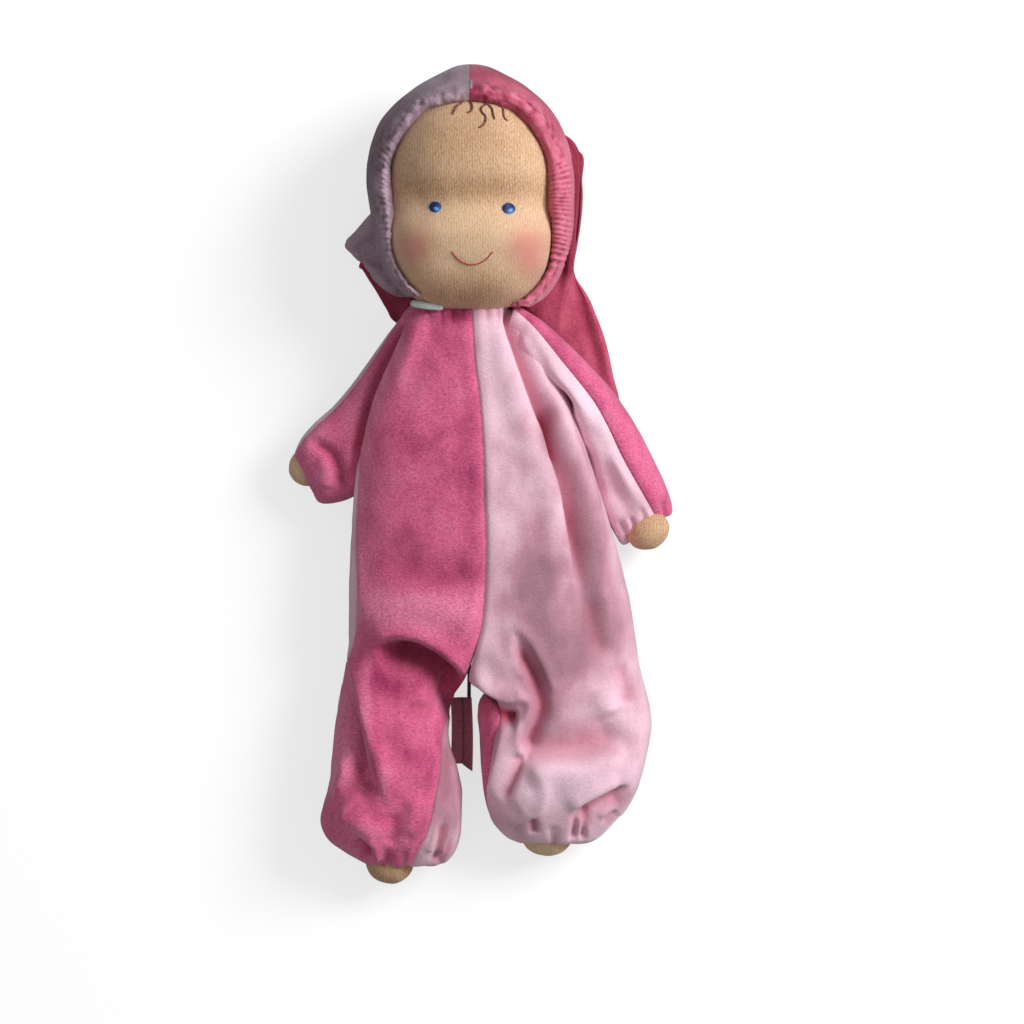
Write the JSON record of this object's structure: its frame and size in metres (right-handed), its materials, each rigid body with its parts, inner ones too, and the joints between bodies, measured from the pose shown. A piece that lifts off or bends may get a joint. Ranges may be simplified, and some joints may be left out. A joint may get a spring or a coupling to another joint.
{
  "type": "baby doll",
  "caption": "Soft hooded baby doll lying on its back: velour romper and long pointed hood in two pinks, knit head, hands and feet, with a jointed neck, arms, legs and hood tail.",
  "frame": {"origin": "under the belly, on the flat of the torso's back that the doll lies on", "axes": "+Z out of the face and belly, +Y from the feet towards the hood, +X to the doll's left"},
  "size_m": [0.1395, 0.3002, 0.0653],
  "materials": {
    "wool_stuffing": "matte",
    "dark_velour": "matte",
    "pale_velour": "matte",
    "knit_skin": "matte",
    "tie_thread": "matte",
    "navy_thread": "matte",
    "red_thread": "matte",
    "brown_thread": "matte",
    "mint_tape": "matte",
    "tag_cloth": "matte",
    "tag_cord": "matte"
  },
  "bodies": {
    "torso": {"torso_stuffing": "wool_stuffing", "romper_front_left": "pale_velour", "romper_front_right": "dark_velour", "romper_back_right": "pale_velour", "romper_back_left": "dark_velour", "neck_tape": "mint_tape", "hang_tag": "tag_cloth", "tag_cord": "tag_cord"},
    "neck": {"neck_stuffing": "wool_stuffing", "neck_tie": "tie_thread"},
    "head": {"head_skin": "knit_skin", "head_stuffing": "wool_stuffing", "eye_line_thread": "tie_thread", "eye_right": "navy_thread", "eye_left": "navy_thread", "mouth_stitch": "red_thread", "hair_strand_1": "brown_thread", "hair_strand_2": "brown_thread", "hair_strand_3": "brown_thread", "hair_strand_4": "brown_thread", "hair_strand_5": "brown_thread", "hood_right": "pale_velour", "hood_left": "dark_velour", "hood_rim_right": "pale_velour", "hood_rim_left": "dark_velour"},
    "hood_tail": {"hood_tail_right": "pale_velour", "hood_tail_left": "dark_velour"},
    "arm_right": {"arm_stuffing_right": "wool_stuffing", "sleeve_front_right": "dark_velour", "sleeve_back_right": "pale_velour", "hand_right": "knit_skin", "wrist_tie_right": "tie_thread"},
    "arm_left": {"arm_stuffing_left": "wool_stuffing", "sleeve_front_left": "pale_velour", "sleeve_back_left": "dark_velour", "hand_left": "knit_skin", "wrist_tie_left": "tie_thread"},
    "leg_right": {"leg_stuffing_right": "wool_stuffing", "leg_front_right": "dark_velour", "leg_back_right": "pale_velour", "foot_right": "knit_skin", "ankle_tie_right": "tie_thread"},
    "leg_left": {"leg_stuffing_left": "wool_stuffing", "leg_front_left": "pale_velour", "leg_back_left": "dark_velour", "foot_left": "knit_skin", "ankle_tie_left": "tie_thread"}
  },
  "joints": [
    {"name": "neck_nod", "type": "hinge", "parent": "torso", "child": "neck", "pos_m": [0, 0.0693, 0.0358], "axis": [1, 0, 0], "range_deg": [0, 25]},
    {"name": "neck_turn", "type": "hinge", "parent": "neck", "child": "head", "pos_m": [0, 0.0693, 0.0358], "axis": [0, 1, 0], "range_deg": [-30, 30]},
    {"name": "right_shoulder", "type": "hinge", "parent": "torso", "child": "arm_right", "pos_m": [-0.022, 0.051, 0.027], "axis": [0, 0, -1], "range_deg": [0, 65]},
    {"name": "left_shoulder", "type": "hinge", "parent": "torso", "child": "arm_left", "pos_m": [0.022, 0.051, 0.027], "axis": [0, 0, 1], "range_deg": [0, 65]},
    {"name": "right_hip", "type": "hinge", "parent": "torso", "child": "leg_right", "pos_m": [-0.0235, -0.058, 0.029], "axis": [-1, 0, 0], "range_deg": [0, 90]},
    {"name": "left_hip", "type": "hinge", "parent": "torso", "child": "leg_left", "pos_m": [0.029, -0.058, 0.029], "axis": [-1, 0, 0], "range_deg": [0, 90]},
    {"name": "tail_swing", "type": "hinge", "parent": "torso", "child": "hood_tail", "pos_m": [0, 0.064, 0.002], "axis": [0, 0, 1], "range_deg": [0, 45]}
  ]
}
